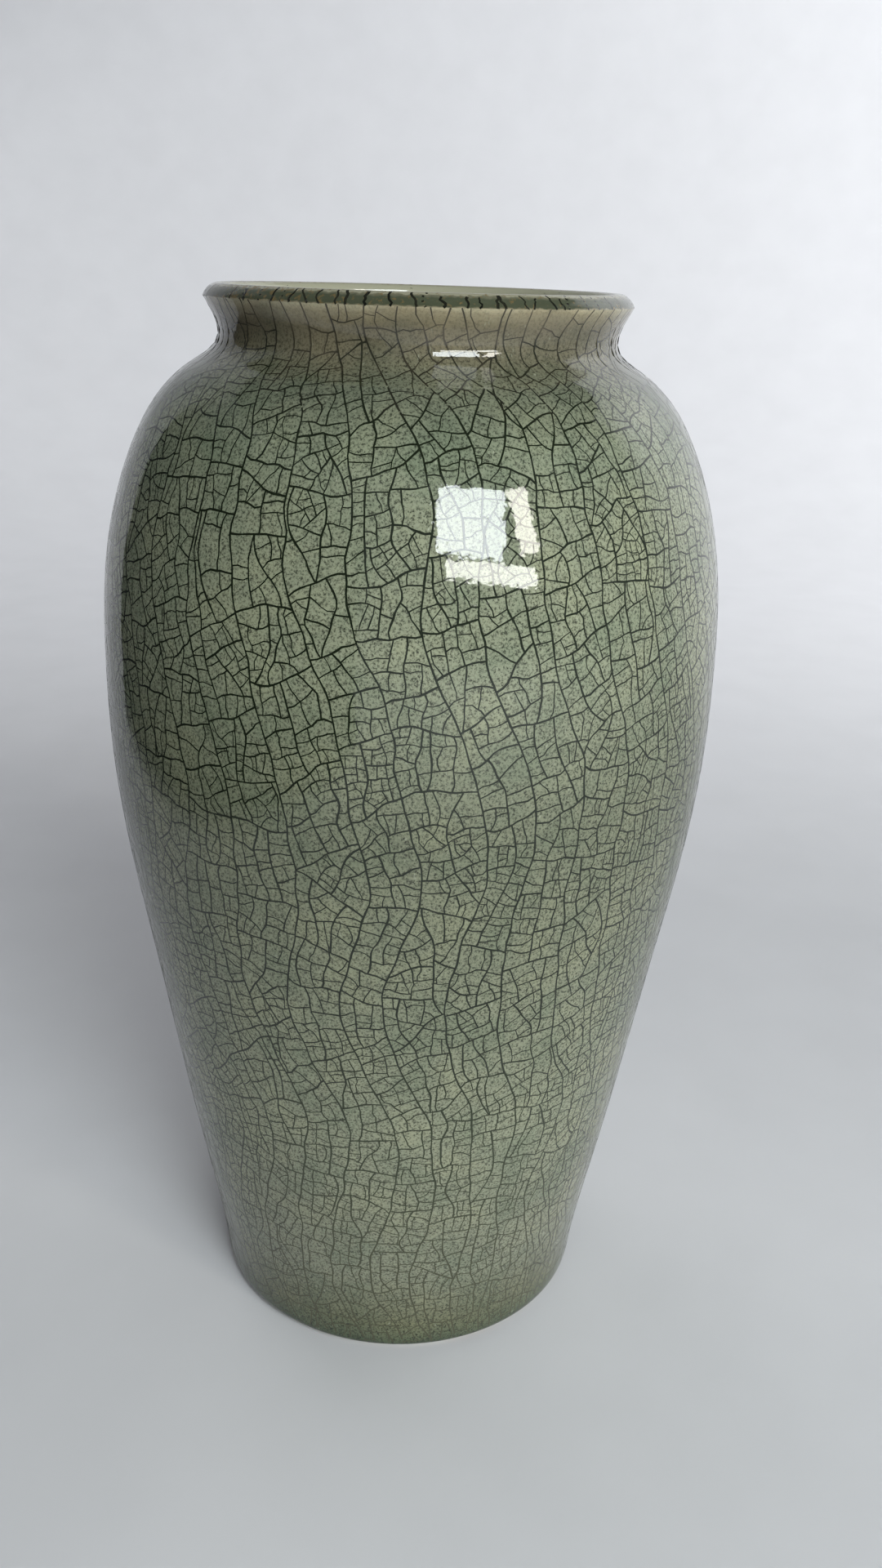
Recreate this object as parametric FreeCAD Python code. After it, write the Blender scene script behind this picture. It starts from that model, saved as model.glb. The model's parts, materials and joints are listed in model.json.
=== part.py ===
import FreeCAD, Part
import math
import os

from FreeCAD import Vector

# Crackle-glazed porcelain vase, modelled as the clay sections it is luted together
# from and the glaze coats fired onto them.
# Frame: millimetres, +Z up along the axis of the pot, origin at the centre of the foot
# on the plane that it stands on. Every piece is a half section in the XZ plane, turned
# once about the axis.

# Outside form, over the glaze
HEIGHT = 250.0            # standing plane to the crest of the lip
FOOT_RADIUS = 47.2        # lowest part of the glazed wall
FOOT_LEAN = 6.0           # degrees that the wall leans out where it leaves the foot
BELLY_RADIUS = 71.1
BELLY_HEIGHT = 163.0
NECK_RADIUS = 43.6        # narrowest part of the neck
NECK_DROP = 10.0          # narrowest part, below the crest
LIP_RADIUS = 46.6         # outer edge of the lip
LIP_EDGE_DROP = 2.6       # outer edge of the lip, below the crest
LIP_LEAN = 27.0           # degrees that the wall leans out where it reaches the lip
LIP_BEVEL = 2.7           # crest of the lip, inside its outer edge
LIP_BOW = 0.3             # how far the bevel bulges, both up and out
LIP_ROUND = 2.0           # how far the inside of the lip rolls down and in
MOUTH_LEAN = 14.0         # degrees that the inside leans out where it meets that roll

# How full the outline is: each pair is the share of the height climbed and the share of
# the radius gained from foot to belly, or kept from belly to neck
LOW_WALL = (0.26, 0.295)
MID_WALL = (0.60, 0.69)
HIGH_SHOULDER = (0.515, 0.873)
ROUND_SHOULDER = (0.74, 0.645)
NECK_ROOT = (0.92, 0.215)

# Clay
WALL = 4.6
NECK_WALL = 3.8
FLOOR = 6.0
FLOOR_CORNER = 14.0       # inside corner between the wall and the floor
FOOT_RING_HEIGHT = 6.4
FOOT_RING_WIDTH = 5.4     # across the ring where it is luted on
FOOT_RING_TAPER = 1.2     # how much the inside of the ring slopes towards its rest face
FOOT_CHAMFER = 0.8        # turned edges beside the rest face

# Luted joints
SLIP = 0.9                # thickness of the slip in a joint
BELLY_JOINT_SLOPE = -24.0  # degrees that the joint rises towards the outside
NECK_JOINT_SLOPE = 42.0
BELLY_JOINT_HEIGHT = 148.0
NECK_JOINT_DROP = 20.0    # neck joint, below the crest

# Glaze coats
OUTER_GLAZE = 0.7
EDGE_GLAZE = 0.25         # where that coat runs thin at the lip's outer edge
FOOT_POOL = 1.3           # where it has run down and pooled at the foot
POOL_LINE = 1.6           # height at which it stops above the standing plane
INNER_GLAZE = 0.5
LIP_GLAZE = 0.3
BASE_GLAZE = 0.4

FULL_TURN = 360.0
AXIS = Vector(0.0, 0.0, 1.0)
DIAGONAL = math.sqrt(0.5)  # share of an arc's reach that its middle has covered


# Points, lines and faces of the half section

def at(radius, height):
    return Vector(radius, 0.0, height)


def lean(degrees):
    """Direction of a wall that climbs while leaning outwards by so many degrees."""
    angle = math.radians(degrees)
    return Vector(math.sin(angle), 0.0, math.cos(angle))


def between(low, high, share):
    return low + (high - low) * share


def curve_through(stations):
    """One smooth curve through (point, direction) stations; a direction may be None."""
    curve = Part.BSplineCurve()
    curve.interpolate(
        Points=[point for point, _ in stations],
        Tangents=[direction or AXIS for _, direction in stations],
        TangentFlags=[direction is not None for _, direction in stations],
        Scale=True,
    )
    return curve


def shifted(curve, stations, depths):
    """The stations moved into the wall, square to the curve, each by its own depth."""
    moved = []
    for (point, direction), depth in zip(stations, depths):
        tangent = curve.tangent(curve.parameter(point))[0]
        inward = Vector(-tangent.z, 0.0, tangent.x)
        moved.append((point + inward * depth, direction))
    return moved


def polyline(points):
    return [Part.LineSegment(a, b).toShape() for a, b in zip(points, points[1:])]


def arc(start, middle, end):
    return Part.Arc(start, middle, end).toShape()


def face_of(edges):
    return Part.Face(Part.Wire(edges))


def polygon(points):
    return face_of(polyline(points + points[:1]))


def turned(face):
    """The solid that a half section makes in one turn about the pot's axis."""
    return face.revolve(Vector(), AXIS, FULL_TURN).Solids[0]


# The outside of the pot, from the foot up to the outer edge of the lip

def outer_stations():
    neck_height = HEIGHT - NECK_DROP
    stations = [(at(FOOT_RADIUS, 0.0), lean(FOOT_LEAN))]
    for climbed, gained in (LOW_WALL, MID_WALL):
        radius = between(FOOT_RADIUS, BELLY_RADIUS, gained)
        stations.append((at(radius, BELLY_HEIGHT * climbed), None))
    stations.append((at(BELLY_RADIUS, BELLY_HEIGHT), lean(0.0)))
    for climbed, kept in (HIGH_SHOULDER, ROUND_SHOULDER, NECK_ROOT):
        radius = between(NECK_RADIUS, BELLY_RADIUS, kept)
        stations.append((at(radius, between(BELLY_HEIGHT, neck_height, climbed)), None))
    stations.append((at(NECK_RADIUS, neck_height), lean(0.0)))
    stations.append((at(LIP_RADIUS, HEIGHT - LIP_EDGE_DROP), lean(LIP_LEAN)))
    return stations


OUTER = outer_stations()
OUTER_CURVE = curve_through(OUTER)
CLAY_FOOT_RADIUS = FOOT_RADIUS - FOOT_POOL
FLOOR_TOP = FOOT_RING_HEIGHT + FLOOR


def clay_curve():
    """The clay under the outer coat, which is thick at the foot and thin at the lip."""
    depths = [FOOT_POOL] + [OUTER_GLAZE] * (len(OUTER) - 2) + [EDGE_GLAZE]
    stations = shifted(OUTER_CURVE, OUTER, depths)
    stations[0] = (at(CLAY_FOOT_RADIUS, 0.0), lean(FOOT_LEAN))
    stations[-1] = (at(LIP_RADIUS - EDGE_GLAZE, HEIGHT - LIP_EDGE_DROP), lean(LIP_LEAN))
    return curve_through(stations)


def lip_inner_point(coat):
    """Where the lip has rolled over into the mouth, sunk into the clay by the coat."""
    return at(LIP_RADIUS - LIP_BEVEL - LIP_ROUND + coat, HEIGHT - LIP_ROUND)


def lip_edges(edge, coat):
    """The bowed bevel from the lip's edge to its crest, and the roll into the mouth."""
    crest = at(LIP_RADIUS - LIP_BEVEL, HEIGHT - coat)
    inner = lip_inner_point(coat)
    bow = Vector(LIP_BOW, 0.0, LIP_BOW)
    bevel = arc(edge, (edge + crest) * 0.5 + bow, crest)
    roll = at(
        between(crest.x, inner.x, DIAGONAL),
        between(inner.z, crest.z, DIAGONAL),
    )
    return [bevel, arc(crest, roll, inner)]


def filled(curve, coat):
    """Everything inside an outside curve and the lip, as if the pot were solid."""
    foot = curve.value(curve.FirstParameter)
    edge = curve.value(curve.LastParameter)
    inner = lip_inner_point(coat)
    axis_edges = polyline([inner, at(0.0, inner.z), at(0.0, foot.z), foot])
    return face_of([curve.toShape()] + lip_edges(edge, coat) + axis_edges)


def cavity(coat, lip_coat):
    """The hollow of the pot, made smaller all over by the coat on the clay."""
    depths = [OUTER_GLAZE + WALL + coat] * (len(OUTER) - 3)
    depths += [OUTER_GLAZE + NECK_WALL + coat]
    stations = shifted(OUTER_CURVE, OUTER[1:-1], depths)
    floor = FLOOR_TOP + coat
    first = OUTER[1][0]
    share = (floor + FLOOR_CORNER) / first.z
    wall = at(between(FOOT_RADIUS, first.x, share) - depths[0], floor + FLOOR_CORNER)
    start = at(wall.x - FLOOR_CORNER, floor)
    bend = at(
        between(start.x, wall.x, DIAGONAL),
        between(wall.z, floor, DIAGONAL),
    )
    mouth = lip_inner_point(lip_coat)
    stations = [(wall, None)] + stations + [(mouth, lean(MOUTH_LEAN))]
    edges = [arc(start, bend, wall), curve_through(stations).toShape()]
    edges += polyline([mouth, at(0.0, mouth.z), at(0.0, floor), start])
    return face_of(edges)


def recess(coat):
    """The hollow under the base, inside the foot ring."""
    foot = CLAY_FOOT_RADIUS - FOOT_RING_WIDTH
    root = foot - FOOT_RING_TAPER
    top = FOOT_RING_HEIGHT - coat
    slope = between(root, foot, coat / FOOT_RING_HEIGHT)
    return polygon([at(0.0, 0.0), at(foot, 0.0), at(slope, top), at(0.0, top)])


def foot_chamfers():
    """The two corners turned off the ring beside its rest face."""
    outer = CLAY_FOOT_RADIUS
    inner = outer - FOOT_RING_WIDTH
    corners = []
    for radius, side in ((outer, 1.0), (inner, -1.0)):
        cut = side * FOOT_CHAMFER
        corners.append(polygon([
            at(radius - cut, 0.0),
            at(radius + cut, 2.0 * FOOT_CHAMFER),
            at(radius + cut, 0.0),
        ]))
    return corners


def under_pool():
    """What lies below the rolled edge where the outer coat stops at the foot."""
    inner = at(CLAY_FOOT_RADIUS - FOOT_POOL, POOL_LINE)
    outer = at(FOOT_RADIUS + FOOT_POOL, POOL_LINE + FOOT_POOL)
    low = at(FOOT_RADIUS - 0.4 * FOOT_POOL, POOL_LINE)
    edges = [arc(inner, low, outer)]
    edges += polyline([outer, at(outer.x, -FOOT_POOL), at(inner.x, -FOOT_POOL), inner])
    return face_of(edges)


def joint_band(height, radius, slope):
    """The slip between two wall sections: a band through (radius, height).

    The slope is in degrees, and positive where the joint rises towards the outside.
    """
    rise = math.tan(math.radians(slope))
    thick = SLIP / math.cos(math.radians(slope))
    low_in = at(0.0, height - radius * rise)
    low_out = at(2.0 * radius, height + radius * rise)
    up = Vector(0.0, 0.0, thick)
    return polygon([low_in, low_out, low_out + up, low_in + up])


def radius_at(height):
    """Radius of the outside at a height below the neck."""
    level = Part.LineSegment(at(0.0, height), at(2.0 * BELLY_RADIUS, height))
    crossing = OUTER_CURVE.intersectCC(level)[0]
    return crossing.X


# The pieces, each as the half section that is turned into its solid

def clay_faces():
    clay = filled(clay_curve(), LIP_GLAZE)
    clay = clay.cut([cavity(0.0, LIP_GLAZE), recess(0.0)] + foot_chamfers())
    joints = {
        "foot_luting_seam": joint_band(FOOT_RING_HEIGHT - SLIP, FOOT_RADIUS, 0.0),
        "belly_luting_seam": joint_band(
            BELLY_JOINT_HEIGHT, radius_at(BELLY_JOINT_HEIGHT), BELLY_JOINT_SLOPE
        ),
        "neck_luting_seam": joint_band(
            HEIGHT - NECK_JOINT_DROP, radius_at(HEIGHT - NECK_JOINT_DROP), NECK_JOINT_SLOPE
        ),
    }
    faces = {name: clay.common(band) for name, band in joints.items()}
    sections = sorted(clay.cut(list(joints.values())).Faces, key=lambda f: f.CenterOfMass.z)
    names = ("foot_ring", "lower_body_section", "upper_body_section", "neck_and_lip_section")
    faces.update(zip(names, sections, strict=True))
    return faces


def glaze_faces():
    outside = filled(OUTER_CURVE, 0.0).cut([filled(clay_curve(), LIP_GLAZE), under_pool()])
    edge_height = HEIGHT - LIP_EDGE_DROP
    lip_zone = polygon([
        at(0.0, edge_height),
        at(2.0 * LIP_RADIUS, edge_height),
        at(2.0 * LIP_RADIUS, HEIGHT + LIP_RADIUS),
        at(0.0, HEIGHT + LIP_RADIUS),
    ])
    return {
        "outer_crackle_glaze": outside.cut(lip_zone),
        "lip_glaze": outside.common(lip_zone),
        "inner_glaze": cavity(0.0, LIP_GLAZE).cut(cavity(INNER_GLAZE, 0.0)),
        "base_glaze": recess(0.0).cut(recess(BASE_GLAZE)),
    }


def main():
    os.makedirs("parts", exist_ok=True)
    for name, face in {**clay_faces(), **glaze_faces()}.items():
        turned(face.Faces[0]).exportStep(f"parts/{name}.step")


main()
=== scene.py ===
import json
import math
import random

import bpy
import numpy as np
from mathutils import Matrix, Vector, noise

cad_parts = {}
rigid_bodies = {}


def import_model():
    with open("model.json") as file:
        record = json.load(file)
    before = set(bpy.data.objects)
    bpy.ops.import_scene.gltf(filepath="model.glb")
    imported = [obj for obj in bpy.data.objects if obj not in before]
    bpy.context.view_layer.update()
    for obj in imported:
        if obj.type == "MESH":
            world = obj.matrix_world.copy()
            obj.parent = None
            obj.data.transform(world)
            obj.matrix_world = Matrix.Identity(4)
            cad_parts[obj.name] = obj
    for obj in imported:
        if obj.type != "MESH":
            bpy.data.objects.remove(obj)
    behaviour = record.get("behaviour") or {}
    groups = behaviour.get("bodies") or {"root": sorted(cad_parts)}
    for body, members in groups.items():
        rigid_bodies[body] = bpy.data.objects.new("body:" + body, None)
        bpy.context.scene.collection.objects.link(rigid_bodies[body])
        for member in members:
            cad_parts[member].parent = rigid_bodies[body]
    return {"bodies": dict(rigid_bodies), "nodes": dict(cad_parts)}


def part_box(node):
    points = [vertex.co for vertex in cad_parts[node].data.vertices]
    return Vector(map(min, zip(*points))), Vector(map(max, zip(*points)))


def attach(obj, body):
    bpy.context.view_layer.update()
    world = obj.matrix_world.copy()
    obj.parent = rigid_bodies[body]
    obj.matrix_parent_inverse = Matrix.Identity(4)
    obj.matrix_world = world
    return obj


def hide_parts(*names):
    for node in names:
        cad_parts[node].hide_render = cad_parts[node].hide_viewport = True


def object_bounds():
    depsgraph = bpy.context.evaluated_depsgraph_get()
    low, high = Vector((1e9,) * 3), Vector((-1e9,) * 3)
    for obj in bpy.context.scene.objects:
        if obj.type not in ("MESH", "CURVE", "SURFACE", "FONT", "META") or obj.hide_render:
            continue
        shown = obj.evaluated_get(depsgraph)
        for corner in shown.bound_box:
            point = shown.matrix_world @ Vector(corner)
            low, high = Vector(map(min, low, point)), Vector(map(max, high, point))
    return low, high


# Shouldered porcelain vase under a grey-green crackle glaze.
# Metres, +Z up, foot on z = 0. Each visible coat is turned from the outline of its own
# CAD node, and the crackle is a network of fine stained cracks laid in the glaze.

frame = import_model()
cad_low, cad_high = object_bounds()

MM = 0.001
BODY = next(iter(frame["bodies"]))
HEIGHT = cad_high.z
LIP_EDGE_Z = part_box("lip_glaze")[0].z
LIP_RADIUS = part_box("lip_glaze")[1].x


# ---- Small helpers ---------------------------------------------------------------------

def srgb(code):
    """Linear colour of an sRGB hex value."""
    parts = [int(code[i:i + 2], 16) / 255 for i in (1, 3, 5)]
    return [p / 12.92 if p <= 0.04045 else ((p + 0.055) / 1.055) ** 2.4 for p in parts] + [1.0]


def deselect():
    bpy.ops.object.select_all(action="DESELECT")


def new_piece(name, verts, edges, faces):
    mesh = bpy.data.meshes.new(name)
    mesh.from_pydata(verts, edges, faces)
    piece = bpy.data.objects.new(name, mesh)
    bpy.context.collection.objects.link(piece)
    deselect()
    piece.select_set(True)
    bpy.context.view_layer.objects.active = piece
    return piece


def seat(piece, slot, *nodes):
    """The piece rides on the pot and stands for the nodes, which are hidden; the slot is not used.
    """
    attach(piece, BODY)
    if nodes:
        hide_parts(*nodes)
    return piece


# ---- Outlines, read from the CAD coats ---------------------------------------------------

def half_section(vertices):
    """The different (radius, height) places among the vertices of a turned node."""
    return {(round(math.hypot(v.co.x, v.co.y), 7), round(v.co.z, 7)) for v in vertices}


def section(node, core, facing):
    """(radius, height) points of a turned node's surface that faces away from a core point
    of its half section (facing 1) or towards it (facing -1), in order along the surface.

    A core height of None keeps the core level with each point.
    """
    mesh = frame["nodes"][node].data
    found = set()
    for face in mesh.polygons:
        centre, normal = face.center, face.normal
        reach = math.hypot(centre.x, centre.y)
        outward = (centre.x * normal.x + centre.y * normal.y) / max(reach, MM)
        rise = 0.0 if core[1] is None else centre.z - core[1]
        if ((reach - core[0]) * outward + rise * normal.z) * facing > 0.0:
            found.update(face.vertices)
    points = half_section(mesh.vertices[i] for i in found)
    if core[1] is None:
        return sorted(points, key=lambda p: p[1])
    return sorted(points, key=lambda p: math.atan2(p[1] - core[1], p[0] - core[0]))


def thinned(points, gap):
    """The points with at least this gap between neighbours, both ends kept."""
    kept = [points[0]]
    for point in points[1:]:
        if math.dist(point, kept[-1]) >= gap:
            kept.append(point)
    if len(kept) > 1 and math.dist(kept[-1], points[-1]) < 0.5 * gap:
        kept.pop()
    return kept if kept[-1] == points[-1] else kept + [points[-1]]


def smooth(points, step):
    """A Catmull-Rom curve through the points, cut about every step."""
    p = np.array(points)
    p = np.vstack([2 * p[0] - p[1], p, 2 * p[-1] - p[-2]])
    line = []
    for a, b, c, d in zip(p, p[1:], p[2:], p[3:]):
        pieces = max(1, math.ceil(np.linalg.norm(c - b) / step))
        for t in np.arange(pieces) / pieces:
            line.append(0.5 * (
                2 * b + (c - a) * t + (2 * a - 5 * b + 4 * c - d) * t ** 2
                + (3 * b - a - 3 * c + d) * t ** 3
            ))
    line.append(p[-2])
    return [tuple(q) for q in line]


def turned(name, loop, steps, crease):
    """A half section turned once about the axis into a closed, outward-facing shell."""
    verts = [(r, 0.0, z) for r, z in loop]
    edges = [(i, (i + 1) % len(verts)) for i in range(len(verts))]
    piece = new_piece(name, verts, edges, [])
    bpy.ops.object.mode_set(mode="EDIT")
    bpy.ops.mesh.select_all(action="SELECT")
    bpy.ops.mesh.spin(steps=steps, angle=math.tau, center=(0, 0, 0), axis=(0, 0, 1))
    bpy.ops.mesh.select_all(action="SELECT")
    bpy.ops.mesh.remove_doubles(threshold=0.002 * MM)
    bpy.ops.mesh.normals_make_consistent(inside=False)
    bpy.ops.object.mode_set(mode="OBJECT")
    bpy.ops.object.shade_smooth_by_angle(angle=math.radians(crease))
    return piece


def sunk(line, depth):
    """The line moved to its left, which is into the glaze on all three coats."""
    p = np.array(line)
    way = np.gradient(p, axis=0)
    left = np.stack([-way[:, 1], way[:, 0]], axis=-1)
    left /= np.linalg.norm(left, axis=1)[:, None]
    return [tuple(q) for q in p + depth * left]


SKIN = 0.02 * MM          # the cracks' tops stand this far above the coats' facets
COAT_CREASE = 35
FOOT_CREASE = 25


def coat(name, node, core, facing, gap, step, steps):
    """A glaze coat turned from both sides of its node: fine outside, plainer next the clay."""
    seen = smooth(thinned(section(node, core, facing), gap), step)
    hidden = smooth(thinned(section(node, core, -facing), 4 * gap), 6 * step)
    return turned(name, sunk(seen, SKIN * facing) + hidden[::-1], steps, COAT_CREASE), seen


LEVEL = (0.0, None)
LIP_CORE = (LIP_RADIUS - 3.0 * MM, LIP_EDGE_Z - 0.2 * MM)
MOUTH_CORE = (0.0, HEIGHT - 15.0 * MM)

outer_glaze, OUTER_LINE = coat("outer_glaze", "outer_crackle_glaze", LEVEL, 1,
                               1.2 * MM, 1.2 * MM, 280)
lip_glaze, LIP_LINE = coat("lip_coat", "lip_glaze", LIP_CORE, 1, 0.3 * MM, 0.2 * MM, 320)
inner_glaze, _ = coat("inside_glaze", "inner_glaze", MOUTH_CORE, -1,
                      2.0 * MM, 2.0 * MM, 240)


def ring_outline(node):
    """The whole half section of a turned ring, in order about its middle."""
    points = list(half_section(frame["nodes"][node].data.vertices))
    middle = (np.min(points, axis=0) + np.max(points, axis=0)) / 2
    return sorted(points, key=lambda p: math.atan2(p[1] - middle[1], p[0] - middle[0]))


foot = turned("foot", ring_outline("foot_ring"), 240, FOOT_CREASE)


# ---- The crackle -------------------------------------------------------------------------
# Glaze in tension cracks in stages: long cracks first, mostly up and down the wall, then
# shorter ones that meet them nearly square, until the cells are a few millimetres across.
# A place in the glaze is (turn about the axis, run along the coat's outline), and a cell
# is worked on flat, as its outline in metres round and along.

class Skin:
    """The surface of a coat, for laying cracks in."""

    def __init__(self, line):
        self.line = np.array(line)
        steps = np.linalg.norm(np.diff(self.line, axis=0), axis=1)
        self.run = np.concatenate([[0.0], np.cumsum(steps)])
        self.way = np.gradient(self.line, self.run, axis=0)
        self.end = self.run[-1]

    def radius(self, run):
        return np.interp(run, self.run, self.line[:, 0])

    def height(self, run):
        return np.interp(run, self.run, self.line[:, 1])

    def places(self, turn, run):
        """Points and outward normals on the skin."""
        lean = np.interp(run, self.run, self.way[:, 0])
        climb = np.interp(run, self.run, self.way[:, 1])
        cos, sin = np.cos(turn), np.sin(turn)
        radius = self.radius(run)
        place = np.stack([radius * cos, radius * sin, self.height(run)], axis=-1)
        normal = np.stack([climb * cos, climb * sin, -lean], axis=-1)
        return place, normal / np.linalg.norm(normal, axis=1)[:, None]

    def cloud(self, turn, run, size, seed):
        """Smooth noise from -1 to 1 over the skin, with lumps about this size."""
        radius = float(self.radius(run))
        place = (radius * math.cos(turn) / size + seed, radius * math.sin(turn) / size - seed,
                 float(self.height(run)) / size + 0.37 * seed)
        return noise.noise(place)


rng = random.Random(11)
CRACK_STEP = 1.3 * MM

# The long cracks: how many, how unevenly they start as a share of their spacing, and how
# they wander, as (size of a bend, how far it goes sideways) in millimetres
LONG_CRACKS = 36
LONG_JITTER = 0.15
SHARED_SWAY = (50, 7)
OWN_SWAY = (30, 6)
KINK = (6, 1)
THROWING_LEAN = -0.1      # sideways for each unit up: the spiral of the throwing

# Where a cell splits: the cracks weighed up for each split, and what counts against one
TRIES = 10
EDGE_GAP = 0.15 * MM      # how far inside an older crack a new one is started
SHORTEST = 0.4 * MM
HEADING_SPREAD = 0.3      # radians
SLANT_COST = 0.8
UNEVEN_COST = 3.0
SMALLEST_SHARE = 0.27     # of the cell, below which a split counts as uneven
LUCK = 0.25

# How a crack runs between its ends
SQUARENESS = 1.1          # how strongly it turns to meet an older crack squarely
BOW = 0.33
CROOKEDNESS = 0.04        # how far it bends off its line, as a share of its span
SHAKE = 0.035             # millimetres

# How small the cells get, and which way they lie
CELL_AREA = 14.0 * MM ** 2
OLDEST_CELL = 12 * MM     # size of the cell from which a crack counts as one of the first
PATCHES = (15 * MM, 6 * MM)  # sizes of the places that are cracked finer or coarser
SWIRL_SIZE = 30 * MM      # size of the places where the cracks lie one way
NECK_REACH = 26 * MM      # down from the lip, where the thin glaze cracks wider
NECK_WIDER = 0.9
FOOT_REACH = 0.34         # share of the wall, up from the foot, where the glaze ran thick
FOOT_WIDER = 0.6


def long_crack(skin, turn):
    """A crack from one end of the skin to the other, swaying with its neighbours."""
    runs = np.linspace(0.0, skin.end, max(8, round(skin.end / (1.6 * CRACK_STEP))))
    turns = []
    for run in runs:
        reach = max(float(skin.radius(run)), 10 * MM)
        sway = skin.cloud(0.0, run, SHARED_SWAY[0] * MM, 3.1) * SHARED_SWAY[1] * MM
        own = skin.cloud(turn, run, OWN_SWAY[0] * MM, 7.7) * OWN_SWAY[1] * MM
        kink = skin.cloud(turn, run, KINK[0] * MM, 5.3) * KINK[1] * MM
        turns.append(turn + (THROWING_LEAN * run + sway + own + kink) / reach)
    return np.stack([turns, runs], axis=-1)


def area_of(cell):
    x, y = cell[:, 0], cell[:, 1]
    return 0.5 * abs(np.dot(x, np.roll(y, -1)) - np.dot(y, np.roll(x, -1)))


def crossings(cell, foot, way):
    """The nearest crossing of a line with the cell's outline each way: (edge, point)."""
    edge = np.roll(cell, -1, axis=0) - cell
    gap = cell - foot
    cross = way[0] * edge[:, 1] - way[1] * edge[:, 0]
    cross = np.where(np.abs(cross) < 1e-12, 1e-12, cross)
    reach = (gap[:, 0] * edge[:, 1] - gap[:, 1] * edge[:, 0]) / cross
    share = (gap[:, 0] * way[1] - gap[:, 1] * way[0]) / cross
    inside = (share >= 0.0) & (share < 1.0)
    found = []
    for side in (1.0, -1.0):
        ahead = np.where(inside & (reach * side > 0.0), np.abs(reach), np.inf)
        index = int(np.argmin(ahead))
        if not np.isfinite(ahead[index]):
            return None
        found.append((index, cell[index] + share[index] * edge[index]))
    return found


def square_off(cell, index, towards):
    """The direction that leaves an edge of the cell at a right angle, on one side of it."""
    edge = cell[(index + 1) % len(cell)] - cell[index]
    out = np.array([-edge[1], edge[0]]) / max(math.hypot(*edge), 1e-9)
    return out if np.dot(out, towards) > 0.0 else -out


def bowed_path(cell, start, end):
    """A bowed path between two points of the outline that meets it nearly square."""
    (i, a), (j, b) = start, end
    span = math.hypot(*(b - a))
    way = (b - a) / span
    side = np.array([-way[1], way[0]]) * rng.gauss(0.0, BOW)
    leave = way + SQUARENESS * square_off(cell, i, way) + side
    arrive = way - SQUARENESS * square_off(cell, j, -way) - side
    p1 = a + leave / max(math.hypot(*leave), 1e-9) * span * 0.38
    p2 = b - arrive / max(math.hypot(*arrive), 1e-9) * span * 0.38
    count = max(2, round(span / CRACK_STEP))
    t = (np.arange(count + 1) / count)[:, None]
    path = (1 - t) ** 3 * a + 3 * (1 - t) ** 2 * t * p1 + 3 * (1 - t) * t ** 2 * p2 + t ** 3 * b
    across = np.array([-way[1], way[0]])
    for waves in (1, 2, 3, 5):
        bend = rng.gauss(0.0, CROOKEDNESS * span / waves)
        path = path + across * np.sin(math.pi * waves * t) * bend
    shake = np.array([[rng.gauss(0, 1), rng.gauss(0, 1)] for _ in range(count + 1)])
    shake[0] = shake[-1] = 0.0
    return path + shake * SHAKE * MM


def best_split(cell, area, heading, upright):
    """The crack that would cross this cell most easily, as its two ends, or None."""
    middle = cell.mean(axis=0)
    spread = cell.std(axis=0)
    x, y = cell[:, 0], cell[:, 1]
    inward = 1.0 if np.dot(x, np.roll(y, -1)) > np.dot(y, np.roll(x, -1)) else -1.0
    best = None
    for attempt in range(TRIES):
        if attempt % 2:
            # one that starts square off an older crack
            k = rng.randrange(len(cell))
            edge = cell[(k + 1) % len(cell)] - cell[k]
            off = inward * np.array([-edge[1], edge[0]]) / max(math.hypot(*edge), 1e-9)
            foot = cell[k] + rng.random() * edge + EDGE_GAP * off
            angle = math.atan2(off[0], off[1]) + rng.gauss(0, HEADING_SPREAD)
        else:
            # one that follows the lie of the cracks round about
            foot = middle + spread * np.array([rng.uniform(-0.6, 0.6), rng.uniform(-0.6, 0.6)])
            angle = heading + rng.choice((0.0, math.pi / 2)) + rng.gauss(0, HEADING_SPREAD)
        ends = crossings(cell, foot, np.array([math.sin(angle), math.cos(angle)]))
        if ends is None or ends[0][0] == ends[1][0]:
            continue
        (i, a), (j, b) = ends
        chord = b - a
        length = math.hypot(chord[0], chord[1] * upright)
        if length < SHORTEST:
            continue
        unit = chord / math.hypot(*chord)
        slant = 2.0 - abs(np.dot(square_off(cell, i, unit), unit))
        slant -= abs(np.dot(square_off(cell, j, unit), unit))
        low, high = min(i, j), max(i, j)
        part = np.vstack([a if i < j else b, cell[low + 1:high + 1], b if i < j else a])
        share = area_of(part) / area
        uneven = max(0.0, SMALLEST_SHARE - min(share, 1.0 - share))
        cost = length / math.sqrt(area) + SLANT_COST * slant + UNEVEN_COST * uneven
        cost += rng.uniform(0.0, LUCK)
        if best is None or cost < best[0]:
            best = (cost, ends[0], ends[1])
    return best and best[1:]


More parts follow.
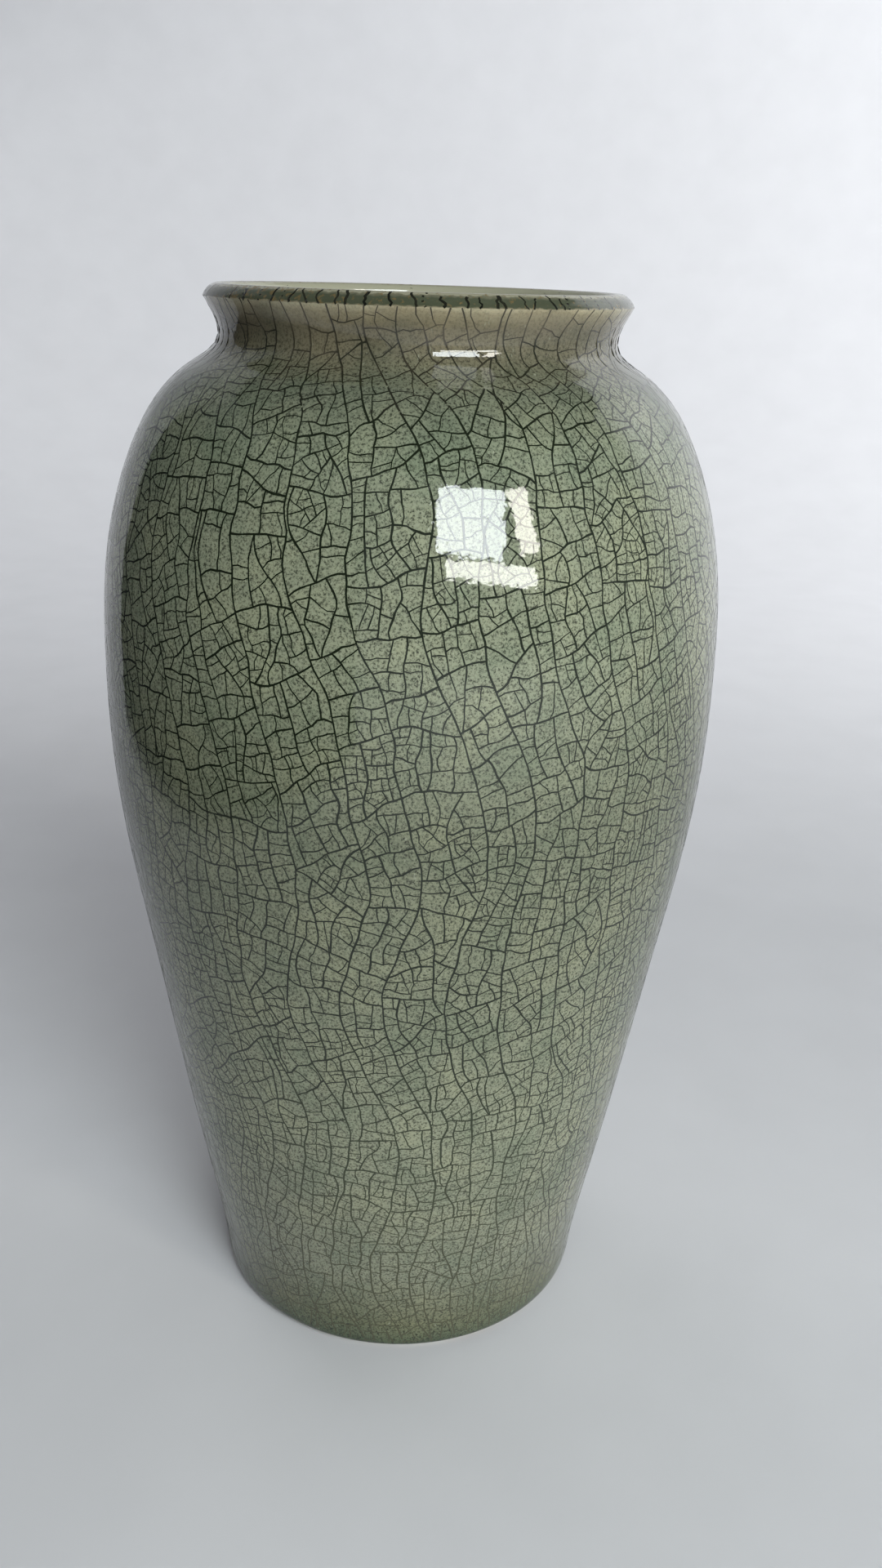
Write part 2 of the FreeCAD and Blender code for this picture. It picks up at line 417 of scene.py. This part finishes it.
def crackle(skin):
    """Every crack in the skin as (path, size of the cell it split)."""
    lines = [
        long_crack(skin, math.tau * (k + rng.uniform(-LONG_JITTER, LONG_JITTER)) / LONG_CRACKS)
        for k in range(LONG_CRACKS)
    ]
    cracks = [(line, OLDEST_CELL) for line in lines]
    cells = [
        np.vstack([left, right[::-1]])
        for left, right in zip(lines, lines[1:] + [lines[0] + (math.tau, 0.0)])
    ]
    while cells:
        cell = cells.pop()
        centre = cell.mean(axis=0)
        turn, run = centre
        flat = (max(float(skin.radius(run)), 3 * MM), 1.0)
        local = (cell - centre) * flat
        area = area_of(local)
        crowding = (skin.cloud(turn, run, PATCHES[0], 40.9)
                    + 0.6 * skin.cloud(turn, run, PATCHES[1], 8.8))
        # thin glaze at the neck and thick glaze that ran to the foot both crack wider, and
        # near the foot the cracks follow the run of it
        high_up = max(0.0, 1.0 - (skin.end - run) / NECK_REACH)
        low_down = max(0.0, 1.0 - run / (FOOT_REACH * skin.end))
        wider = 1.0 + NECK_WIDER * high_up + FOOT_WIDER * low_down
        if area < CELL_AREA * wider * math.exp(crowding) * rng.uniform(0.6, 1.7):
            continue
        swirl = (1.0 - low_down) * 2.0 * skin.cloud(turn, run, SWIRL_SIZE, 21.3)
        # a crack up the wall counts as shorter than it is, the most so in a large cell
        upright = (0.4 if area > 6 * CELL_AREA else 0.85) * (1.0 - 0.4 * low_down)
        ends = best_split(local, area, swirl, upright)
        if ends is None:
            continue
        start, end = sorted(ends, key=lambda found: found[0])
        path = bowed_path(local, start, end) / flat + centre
        cracks.append((path, math.sqrt(area)))
        low, high = start[0] + 1, end[0] + 1
        cells.append(np.vstack([path[::-1], cell[low:high]]))
        cells.append(np.vstack([cell[:low], path, cell[high:]]))
    return cracks


CRACK_DEPTH = 0.25 * MM
HAIRLINE = 0.17           # width in millimetres of the youngest crack
OLD_EXTRA = 0.22          # what the oldest ones have opened by on top of it
NECK_FADE = (HEIGHT - 22 * MM, HEIGHT - 10 * MM)


def laid_cracks(name, skin, cracks, gain=1.0):
    """Cracks as closed V-shaped slivers of stain, flush with the glaze and sharp below."""
    verts, faces, tops, leans = [], [], [], []
    for path, size in cracks:
        turn, run = path[:, 0], np.clip(path[:, 1], 0.0, skin.end)
        place, normal = skin.places(turn, run)
        # a crack that split a larger cell is older and has opened wider; the thin glaze of
        # the neck took the finest ones
        width = gain * (HAIRLINE + OLD_EXTRA * min(1.0, size / OLDEST_CELL)) * MM
        swell = np.array([1.0 + 0.45 * noise.noise(p / (3 * MM)) for p in place])
        swell = swell * np.interp(place[:, 2], NECK_FADE, (1.0, 0.85))
        way = np.gradient(place, axis=0)
        side = np.cross(normal, way)
        side /= np.maximum(np.linalg.norm(side, axis=1), 1e-12)[:, None]
        half = side * (width * swell / 2)[:, None]
        first = len(verts)
        for row in zip(place + half, place - half, place - normal * CRACK_DEPTH):
            verts.extend(tuple(v) for v in row)
        leans.append(np.repeat(normal, 3, axis=0))
        last = len(verts) - 3
        faces += [(first, first + 2, first + 1), (last, last + 1, last + 2)]
        for left in range(first, last, 3):
            ahead = left + 3
            tops.append(len(faces))
            faces.append((left, left + 1, ahead + 1, ahead))
            faces.append((left, ahead, ahead + 2, left + 2))
            faces.append((left + 1, left + 2, ahead + 2, ahead + 1))
    piece = new_piece(name, verts, [], faces)
    bpy.ops.object.mode_set(mode="EDIT")
    bpy.ops.mesh.select_all(action="SELECT")
    bpy.ops.mesh.normals_make_consistent(inside=False)
    bpy.ops.object.mode_set(mode="OBJECT")
    # the stain's top shines with the glaze round it, so it takes the skin's own normals
    mesh = piece.data
    corners = np.empty(len(mesh.loops), int)
    mesh.loops.foreach_get("vertex_index", corners)
    starts = np.empty(len(mesh.polygons), int)
    mesh.polygons.foreach_get("loop_start", starts)
    shown = (starts[tops][:, None] + np.arange(4)).ravel()
    normals = np.zeros((len(corners), 3))
    normals[shown] = np.vstack(leans)[corners[shown]]
    mesh.normals_split_custom_set(normals.tolist())
    return piece


OLD_CRACK = 7.0 * MM      # size of the cell it split, from which a crack counts as old
outer_skin = Skin(OUTER_LINE)
network = crackle(outer_skin)
old_cracks = laid_cracks("old_cracks", outer_skin, [c for c in network if c[1] >= OLD_CRACK])
young_cracks = laid_cracks("young_cracks", outer_skin, [c for c in network if c[1] < OLD_CRACK])

# The bevel's own cracks run across it, and a few go on over the crest
LIP_GAP = (1.4, 6.0)      # millimetres from one to the next
LIP_WANDER = 0.007        # radians at each step
lip_skin = Skin(LIP_LINE)
lip_cracks = []
turn = 0.0
while turn < math.tau - 0.05:
    reach = rng.choice((0.35, 0.45, 0.5, 0.55, 0.8, 1.0)) * lip_skin.end
    runs = np.linspace(0.0, reach, 7)
    wander = np.cumsum([rng.gauss(0, LIP_WANDER) for _ in runs])
    lip_cracks.append((np.stack([turn + wander, runs], axis=-1), rng.uniform(1, 13) * MM))
    turn += rng.uniform(*LIP_GAP) * MM / LIP_RADIUS
bevel_cracks = laid_cracks("lip_cracks", lip_skin, lip_cracks, gain=1.8)


# ---- Materials ---------------------------------------------------------------------------

def add(tree, kind, inputs=None, stops=None, **settings):
    """One node with its settings, its input values or links, and its ramp's stops."""
    made = tree.nodes.new(kind)
    for name, value in settings.items():
        setattr(made, name, value)
    for socket, value in (inputs or {}).items():
        if isinstance(value, bpy.types.NodeSocket):
            tree.links.new(value, made.inputs[socket])
        else:
            made.inputs[socket].default_value = value
    if stops:
        ramp = made.color_ramp
        while len(ramp.elements) < len(stops):
            ramp.elements.new(1.0)
        for element, (place, colour) in zip(ramp.elements, stops):
            element.position = place
            element.color = colour
    return made


def material(name):
    made = bpy.data.materials.new(name)
    made.use_nodes = True
    made.node_tree.nodes.clear()
    return made, made.node_tree


def dress(piece, made):
    piece.data.materials.clear()
    piece.data.materials.append(made)


def per(size_mm):
    """Noise scale that gives lumps about this many millimetres across."""
    return 1.0 / (size_mm * MM)


def grey(value):
    return (value, value, value, 1.0)


def finish_glaze(tree, colour, bump_height, roughness):
    """Glass-like gloss over the colour, faintly rippled and pitted with burst bubbles."""
    coords = add(tree, "ShaderNodeTexCoord").outputs["Object"]
    ripple = add(tree, "ShaderNodeTexNoise", {"Vector": coords, "Scale": per(2.6), "Detail": 2.0,
                                              "Roughness": 0.55}).outputs["Fac"]
    bubble = add(tree, "ShaderNodeTexNoise", {"Vector": coords, "Scale": per(0.8)}).outputs["Fac"]
    pit = add(tree, "ShaderNodeMapRange", {"Value": bubble, "From Min": 0.69, "From Max": 0.78,
                                           "To Min": 0.0, "To Max": -0.3}).outputs[0]
    skin_height = add(tree, "ShaderNodeMath", {0: ripple, 1: pit}, operation="ADD").outputs[0]
    bump = add(tree, "ShaderNodeBump", {"Height": skin_height, "Distance": bump_height})
    shader = add(tree, "ShaderNodeBsdfPrincipled", {
        "Base Color": colour, "Roughness": roughness, "IOR": 1.5, "Normal": bump.outputs["Normal"]})
    add(tree, "ShaderNodeOutputMaterial", {"Surface": shader.outputs[0]})


# Celadon crackle glaze, dipped and fired: grey-green glass over porcelain, cloudy with fine
# dark iron specks and paler flecks, browner where it is thin at the neck, pale tan on the
# lip's sharp edge and greener where it pooled at the foot, with a painted dark reflection and
# painted shade on the wall just above the foot.
celadon, tree = material("celadon_crackle_glaze")
coords = add(tree, "ShaderNodeTexCoord").outputs["Object"]
wavy = add(tree, "ShaderNodeTexNoise", {"Vector": coords, "Scale": per(18), "Detail": 2.0})
height = add(tree, "ShaderNodeSeparateXYZ", {0: coords}).outputs["Z"]
shifted = add(tree, "ShaderNodeMath", {0: wavy.outputs["Fac"], 1: 4.0 * MM, 2: height},
              operation="MULTIPLY_ADD").outputs[0]
level = add(tree, "ShaderNodeMath", {0: shifted, 1: HEIGHT + 2.0 * MM},
            operation="DIVIDE").outputs[0]
tone = add(tree, "ShaderNodeValToRGB", {0: level}, stops=[
    # darker towards the foot: 0.012 is the green of the glaze that pooled there, and the darkening
    # at 0.026 and 0.045 above it is a painted dark reflection and painted shade
    (0.012, srgb("#42503e")), (0.026, srgb("#626a55")), (0.045, srgb("#74775f")),
    (0.110, srgb("#8f9280")), (0.300, srgb("#939783")), (0.600, srgb("#7b7f6c")),
    (0.740, srgb("#8f9480")), (0.820, srgb("#8f9480")), (0.890, srgb("#868d7a")),
    (0.930, srgb("#737868")), (0.955, srgb("#6d6857")), (0.974, srgb("#716a59")),
    (0.985, srgb("#958b73")), (0.990, srgb("#c2b99d")),
]).outputs["Color"]
patch = add(tree, "ShaderNodeTexNoise", {"Vector": coords, "Scale": per(14), "Detail": 3.0,
                                         "Roughness": 0.6}).outputs["Fac"]
patch_tint = add(tree, "ShaderNodeValToRGB", {0: patch}, stops=[
    (0.34, srgb("#e0e6de")), (0.50, srgb("#f2f3ec")), (0.66, srgb("#fffef3")),
]).outputs["Color"]
clouded = add(tree, "ShaderNodeMix", {"Factor": 1.0, 6: tone, 7: patch_tint},
              data_type="RGBA", blend_type="MULTIPLY").outputs[2]
grain = add(tree, "ShaderNodeTexNoise", {"Vector": coords, "Scale": per(0.55), "Detail": 3.0,
                                         "Roughness": 0.75}).outputs["Fac"]
grain_tint = add(tree, "ShaderNodeValToRGB", {0: grain}, stops=[
    (0.37, grey(0.18)), (0.45, grey(0.60)), (0.53, grey(0.92)), (0.61, grey(1.0)),
]).outputs["Color"]
smoother = add(tree, "ShaderNodeMapRange", {"Value": level, "From Min": 0.94, "From Max": 0.98,
                                           "To Min": 1.0, "To Max": 0.35}).outputs[0]
grained = add(tree, "ShaderNodeMix", {"Factor": smoother, 6: clouded, 7: grain_tint},
              data_type="RGBA", blend_type="MULTIPLY").outputs[2]
streaky = add(tree, "ShaderNodeMapping", {"Vector": coords, "Scale": (1.0, 1.0, 0.45),
                                          "Rotation": (0.5, 0.3, 0.0)}).outputs[0]
fleck = add(tree, "ShaderNodeTexNoise", {"Vector": streaky, "Scale": per(1.1), "Detail": 2.0,
                                         "Roughness": 0.6}).outputs["Fac"]
fleck_mask = add(tree, "ShaderNodeValToRGB", {0: fleck}, stops=[
    (0.67, grey(0.0)), (0.78, grey(0.5)),
]).outputs["Color"]
flecked = add(tree, "ShaderNodeMix", {"Factor": fleck_mask, 6: grained, 7: srgb("#a0a48f")},
              data_type="RGBA").outputs[2]
finish_glaze(tree, flecked, 0.032 * MM, 0.04)

# The same glaze on the lip's bevel, where it gathered darker and greener, broke to gold-brown
# flecks at one side, and wore pale along the crest
lip_green, tree = material("dark_lip_glaze")
coords = add(tree, "ShaderNodeTexCoord").outputs["Object"]
height = add(tree, "ShaderNodeSeparateXYZ", {0: coords}).outputs["Z"]
level = add(tree, "ShaderNodeMapRange", {"Value": height, "From Min": LIP_EDGE_Z,
                                         "From Max": HEIGHT}).outputs[0]
blot = add(tree, "ShaderNodeTexNoise", {"Vector": coords, "Scale": per(1.6),
                                        "Detail": 3.0}).outputs["Fac"]
ragged = add(tree, "ShaderNodeMath", {0: blot, 1: 0.34, 2: level},
             operation="MULTIPLY_ADD").outputs[0]
lip_tone = add(tree, "ShaderNodeValToRGB", {0: ragged}, stops=[
    (0.15, srgb("#847c65")), (0.27, srgb("#3f4333")), (0.80, srgb("#454a3a")),
    (1.00, srgb("#6f6d5a")), (1.14, srgb("#8f8d79")),
]).outputs["Color"]
side = add(tree, "ShaderNodeSeparateXYZ", {0: coords}).outputs["X"]
fleck_zone = add(tree, "ShaderNodeMapRange", {"Value": side, "From Min": -14 * MM,
                                              "From Max": -30 * MM, "To Min": 0.0,
                                              "To Max": 0.08}).outputs[0]
fleck = add(tree, "ShaderNodeTexNoise", {"Vector": coords, "Scale": per(0.9),
                                         "Detail": 3.0}).outputs["Fac"]
fleck_level = add(tree, "ShaderNodeMath", {0: fleck, 1: fleck_zone}, operation="ADD").outputs[0]
fleck_mask = add(tree, "ShaderNodeValToRGB", {0: fleck_level}, stops=[
    (0.59, grey(0.0)), (0.68, grey(0.7)),
]).outputs["Color"]
lip_colour = add(tree, "ShaderNodeMix", {"Factor": fleck_mask, 6: lip_tone, 7: srgb("#6e5c3a")},
                 data_type="RGBA").outputs[2]
# past the crest it thins to the cream of the inside
level_place = add(tree, "ShaderNodeVectorMath", {0: coords, 1: (1.0, 1.0, 0.0)},
                  operation="MULTIPLY").outputs[0]
reach = add(tree, "ShaderNodeVectorMath", {0: level_place}, operation="LENGTH").outputs["Value"]
crest_radius = max(LIP_LINE, key=lambda p: p[1])[0]
past_crest = add(tree, "ShaderNodeMapRange", {"Value": reach, "From Min": crest_radius - 0.5 * MM,
                                             "From Max": crest_radius - 1.0 * MM}).outputs[0]
lip_colour = add(tree, "ShaderNodeMix", {"Factor": past_crest, 6: lip_colour, 7: srgb("#9a9985")},
                 data_type="RGBA").outputs[2]
finish_glaze(tree, lip_colour, 0.03 * MM, 0.1)

# Thinner glaze inside: glossy pale cream-green in cloudy patches
inner_cream, tree = material("pale_inner_glaze")
coords = add(tree, "ShaderNodeTexCoord").outputs["Object"]
patch = add(tree, "ShaderNodeTexNoise", {"Vector": coords, "Scale": per(14),
                                         "Detail": 4.0}).outputs["Fac"]
inner_tone = add(tree, "ShaderNodeValToRGB", {0: patch}, stops=[
    (0.3, srgb("#83867a")), (0.5, srgb("#949685")), (0.7, srgb("#a3a592")),
]).outputs["Color"]
finish_glaze(tree, inner_tone, 0.03 * MM, 0.12)

# Glaze brushed on under the foot, thin and unevenly grey-green
base_green, tree = material("thin_base_glaze")
coords = add(tree, "ShaderNodeTexCoord").outputs["Object"]
patch = add(tree, "ShaderNodeTexNoise", {"Vector": coords, "Scale": per(8),
                                         "Detail": 4.0}).outputs["Fac"]
base_tone = add(tree, "ShaderNodeValToRGB", {0: patch}, stops=[
    (0.3, srgb("#8e947f")), (0.5, srgb("#a3a793")), (0.7, srgb("#b4b6a3")),
]).outputs["Color"]
finish_glaze(tree, base_tone, 0.03 * MM, 0.15)

# Unglazed porcelain body, turned, wiped and fired: matt off-white with a fine tooth, drawn
# coarser than life so that it shows, and toasted a little in patches by the kiln
biscuit, tree = material("porcelain_biscuit")
coords = add(tree, "ShaderNodeTexCoord").outputs["Object"]
tooth = add(tree, "ShaderNodeTexNoise", {"Vector": coords, "Scale": per(0.6),
                                         "Detail": 3.0}).outputs["Fac"]
toast = add(tree, "ShaderNodeTexNoise", {"Vector": coords, "Scale": per(16),
                                         "Detail": 3.0}).outputs["Fac"]
toasted = add(tree, "ShaderNodeMath", {0: tooth, 1: 0.25, 2: toast},
              operation="MULTIPLY_ADD").outputs[0]
clay_tone = add(tree, "ShaderNodeValToRGB", {0: toasted}, stops=[
    (0.40, srgb("#d9d3c6")), (0.60, srgb("#cfc4b1")), (0.82, srgb("#b79f83")),
]).outputs["Color"]
bump = add(tree, "ShaderNodeBump", {"Height": tooth, "Distance": 0.05 * MM})
shader = add(tree, "ShaderNodeBsdfPrincipled", {"Base Color": clay_tone, "Roughness": 0.7,
                                                "Normal": bump.outputs["Normal"]})
add(tree, "ShaderNodeOutputMaterial", {"Surface": shader.outputs[0]})

# Luting slip squeezed out between the thrown sections, a little greyer and smoother
slip, tree = material("fired_luting_slip")
coords = add(tree, "ShaderNodeTexCoord").outputs["Object"]
smear = add(tree, "ShaderNodeTexNoise", {"Vector": coords, "Scale": per(2.0),
                                         "Detail": 3.0}).outputs["Fac"]
slip_tone = add(tree, "ShaderNodeValToRGB", {0: smear}, stops=[
    (0.35, srgb("#b9b4a8")), (0.65, srgb("#cbc7bb")),
]).outputs["Color"]
shader = add(tree, "ShaderNodeBsdfPrincipled", {"Base Color": slip_tone, "Roughness": 0.6})
add(tree, "ShaderNodeOutputMaterial", {"Surface": shader.outputs[0]})

# Iron stain rubbed into the cracks after firing, flush with the gloss: green-black on the
# body, browner and weaker low down and at the neck
stain, tree = material("iron_stained_crack")
coords = add(tree, "ShaderNodeTexCoord").outputs["Object"]
height = add(tree, "ShaderNodeSeparateXYZ", {0: coords}).outputs["Z"]
uptake = add(tree, "ShaderNodeTexNoise", {"Vector": coords, "Scale": per(7),
                                          "Detail": 3.0}).outputs["Fac"]
blurred = add(tree, "ShaderNodeMath", {0: uptake, 1: 30 * MM, 2: height},
              operation="MULTIPLY_ADD").outputs[0]
level = add(tree, "ShaderNodeMath", {0: blurred, 1: HEIGHT + 15 * MM},
            operation="DIVIDE").outputs[0]
stain_tone = add(tree, "ShaderNodeValToRGB", {0: level}, stops=[
    (0.10, srgb("#4b4b39")), (0.28, srgb("#343a29")), (0.46, srgb("#181f12")),
    (0.92, srgb("#181f12")), (0.96, srgb("#2b2a21")), (0.99, srgb("#4a4437")),
]).outputs["Color"]
finish_glaze(tree, stain_tone, 0.032 * MM, 0.04)

# The same stain in the lip's dark bevel, where it is all but black
lip_stain, tree = material("black_lip_stain")
coords = add(tree, "ShaderNodeTexCoord").outputs["Object"]
uptake = add(tree, "ShaderNodeTexNoise", {"Vector": coords, "Scale": per(5),
                                          "Detail": 2.0}).outputs["Fac"]
stain_tone = add(tree, "ShaderNodeValToRGB", {0: uptake}, stops=[
    (0.35, srgb("#0f120c")), (0.65, srgb("#23241a")),
]).outputs["Color"]
finish_glaze(tree, stain_tone, 0.032 * MM, 0.04)

dress(outer_glaze, celadon)
dress(lip_glaze, lip_green)
dress(inner_glaze, inner_cream)
dress(foot, biscuit)
dress(old_cracks, stain)
dress(young_cracks, stain)
dress(bevel_cracks, lip_stain)
for node in ("lower_body_section", "upper_body_section", "neck_and_lip_section"):
    dress(frame["nodes"][node], biscuit)
for node in ("foot_luting_seam", "belly_luting_seam", "neck_luting_seam"):
    dress(frame["nodes"][node], slip)
dress(frame["nodes"]["base_glaze"], base_green)

seat(outer_glaze, "crackle_glaze", "outer_crackle_glaze")
seat(lip_glaze, "lip_glaze", "lip_glaze")
seat(inner_glaze, "inner_glaze", "inner_glaze")
seat(foot, "porcelain_clay", "foot_ring")
seat(old_cracks, "crackle_glaze")
seat(young_cracks, "crackle_glaze")
seat(bevel_cracks, "lip_glaze")


# ---- Floor, light and camera -------------------------------------------------------------

scene = bpy.context.scene
scene.view_settings.view_transform = "Standard"

SWEEP_RADIUS = 1.5
SWEEP_BEND = 0.6
SWEEP_HEIGHT = 1.6
bend = [
    (SWEEP_RADIUS - SWEEP_BEND + SWEEP_BEND * math.sin(a), SWEEP_BEND - SWEEP_BEND * math.cos(a))
    for a in np.linspace(0.0, math.pi / 2, 25)
]
profile = [(0.0, 0.0)] + bend + [(SWEEP_RADIUS, SWEEP_HEIGHT)]
sweep = new_piece("sweep", [(r, 0.0, z) for r, z in profile],
                  [(i, i + 1) for i in range(len(profile) - 1)], [])
bpy.ops.object.mode_set(mode="EDIT")
bpy.ops.mesh.select_all(action="SELECT")
bpy.ops.mesh.spin(steps=96, angle=math.tau, center=(0, 0, 0), axis=(0, 0, 1))
bpy.ops.mesh.select_all(action="SELECT")
bpy.ops.mesh.remove_doubles(threshold=0.1 * MM)
bpy.ops.mesh.normals_make_consistent(inside=True)
bpy.ops.object.mode_set(mode="OBJECT")
bpy.ops.object.shade_smooth()

# Seamless studio paper: matt, pale cool grey, barely clouded
paper, tree = material("pale_studio_paper")
coords = add(tree, "ShaderNodeTexCoord").outputs["Object"]
fibre = add(tree, "ShaderNodeTexNoise", {"Vector": coords, "Scale": per(40),
                                         "Detail": 2.0}).outputs["Fac"]
paper_tone = add(tree, "ShaderNodeValToRGB", {0: fibre}, stops=[
    (0.3, srgb("#cccdd0")), (0.7, srgb("#cfd0d3")),
]).outputs["Color"]
shader = add(tree, "ShaderNodeBsdfPrincipled", {"Base Color": paper_tone, "Roughness": 0.85,
                                                "Specular IOR Level": 0.2})
add(tree, "ShaderNodeOutputMaterial", {"Surface": shader.outputs[0]})
dress(sweep, paper)

world = bpy.data.worlds.new("room")
scene.world = world
world.use_nodes = True
world.node_tree.nodes["Background"].inputs["Color"].default_value = srgb("#e2e2e4")
world.node_tree.nodes["Background"].inputs["Strength"].default_value = 0.12


def soft_light(name, place, target, width, height, radiance, tint="#ffffff", roll=0.0):
    """A soft rectangle of light with this brightness, facing the target."""
    lamp = bpy.data.lights.new(name, "AREA")
    lamp.shape = "RECTANGLE"
    lamp.size, lamp.size_y = width, height
    lamp.energy = radiance * math.pi * width * height
    lamp.color = srgb(tint)[:3]
    holder = bpy.data.objects.new(name, lamp)
    bpy.context.collection.objects.link(holder)
    holder.location = place
    holder.rotation_euler = (Vector(place) - Vector(target)).to_track_quat("Z", "Y").to_euler()
    holder.rotation_euler.rotate_axis("Z", math.radians(roll))
    holder.visible_camera = False
    return holder


PANE_AWAY = 1.05
PANE_RADIANCE = 17.8
SHOULDER_SPOT = Vector((0.013, -0.065, 0.2))    # where the window shows in the gloss


def window_pane(name, turn, rise, wide, tall, tint, roll):
    """A pane seen from the shoulder at this bearing, right of the camera, and height, with
    its width and height as degrees of view."""
    a, e = math.radians(turn), math.radians(rise)
    way = Vector((math.sin(a) * math.cos(e), -math.cos(a) * math.cos(e), math.sin(e)))
    width, height = (2 * PANE_AWAY * math.tan(math.radians(view / 2)) for view in (wide, tall))
    soft_light(name, SHOULDER_SPOT + way * PANE_AWAY, SHOULDER_SPOT, width, height,
               PANE_RADIANCE, tint, roll)


window_pane("window_main", 22.3, 28.8, 24.0, 20.0, "#edf4f6", -10.0)
window_pane("window_side", 43.6, 26.5, 7.0, 18.0, "#f6f3ea", 0.0)
window_pane("window_low", 28.6, 14.2, 33.0, 5.0, "#f3f4ee", -9.0)
backdrop_light = soft_light("backdrop_light", (0.8, 0.35, 1.05), (1.0, 1.5, 0.75),
                            0.7, 0.9, 9.0)
back_fill = soft_light("back_fill", (-0.7, 0.9, 0.9), (0, 0, 0.12), 0.8, 0.8, 2.0)
backdrop_light.visible_glossy = back_fill.visible_glossy = False

# A dark flag at the left, out of the picture and thinning out towards its top and bottom,
# darkens what that side of the glaze reflects
FLAG_MIDDLE = (-0.265, -0.12, 0.31)
FLAG_LONG, FLAG_TALL = 0.75, 0.62
FLAG_TURN = math.radians(-72)
bpy.ops.mesh.primitive_plane_add(size=1.0, location=FLAG_MIDDLE,
                                 rotation=(math.radians(90), 0, FLAG_TURN))
flag = bpy.context.object
flag.name = "flag"
flag.scale = (FLAG_LONG, FLAG_TALL, 1.0)
bpy.ops.object.transform_apply(location=True, rotation=True, scale=True)
flag.visible_camera = flag.visible_shadow = False
gauze, tree = material("charcoal_gauze")
coords = add(tree, "ShaderNodeTexCoord").outputs["Object"]
level = add(tree, "ShaderNodeSeparateXYZ", {"Vector": coords}).outputs["Z"]
low_fade = add(tree, "ShaderNodeMapRange", {"Value": level, "From Min": 0.0, "From Max": 0.05},
               interpolation_type="SMOOTHSTEP").outputs["Result"]
high_fade = add(tree, "ShaderNodeMapRange", {"Value": level, "From Min": 0.56, "From Max": 0.34},
                interpolation_type="SMOOTHSTEP").outputs["Result"]
cover = add(tree, "ShaderNodeMath", {0: low_fade, 1: high_fade}, operation="MULTIPLY").outputs[0]
shader = add(tree, "ShaderNodeBsdfPrincipled", {"Base Color": srgb("#2b2d30"), "Roughness": 0.9,
                                                "Alpha": cover})
add(tree, "ShaderNodeOutputMaterial", {"Surface": shader.outputs[0]})
dress(flag, gauze)

# The camera stands a little above the lip and looks down at the pot
CAMERA_AWAY = 1.249 * HEIGHT
CAMERA_HEIGHT = 1.021 * HEIGHT
CAMERA_DOWN = math.radians(21.14)
CAMERA_ASIDE = math.radians(1.47)
CAMERA_TILT = math.radians(1.79)
FOCAL_SHARE = 0.86        # focal length as a share of the picture's long side

ahead = Vector((math.sin(CAMERA_ASIDE) * math.cos(CAMERA_DOWN),
                math.cos(CAMERA_ASIDE) * math.cos(CAMERA_DOWN), -math.sin(CAMERA_DOWN)))
level = Vector((math.cos(CAMERA_ASIDE), -math.sin(CAMERA_ASIDE), 0.0))
right = math.cos(CAMERA_TILT) * level + math.sin(CAMERA_TILT) * level.cross(ahead)
lens = bpy.data.cameras.new("camera")
lens.sensor_width = 36.0
lens.lens = lens.sensor_width * FOCAL_SHARE
lens.clip_start = 0.01
camera = bpy.data.objects.new("camera", lens)
bpy.context.collection.objects.link(camera)
camera.matrix_world = Matrix.Translation((0, -CAMERA_AWAY, CAMERA_HEIGHT)) @ Matrix(
    (right, right.cross(ahead), -ahead)).transposed().to_4x4()
scene.camera = camera
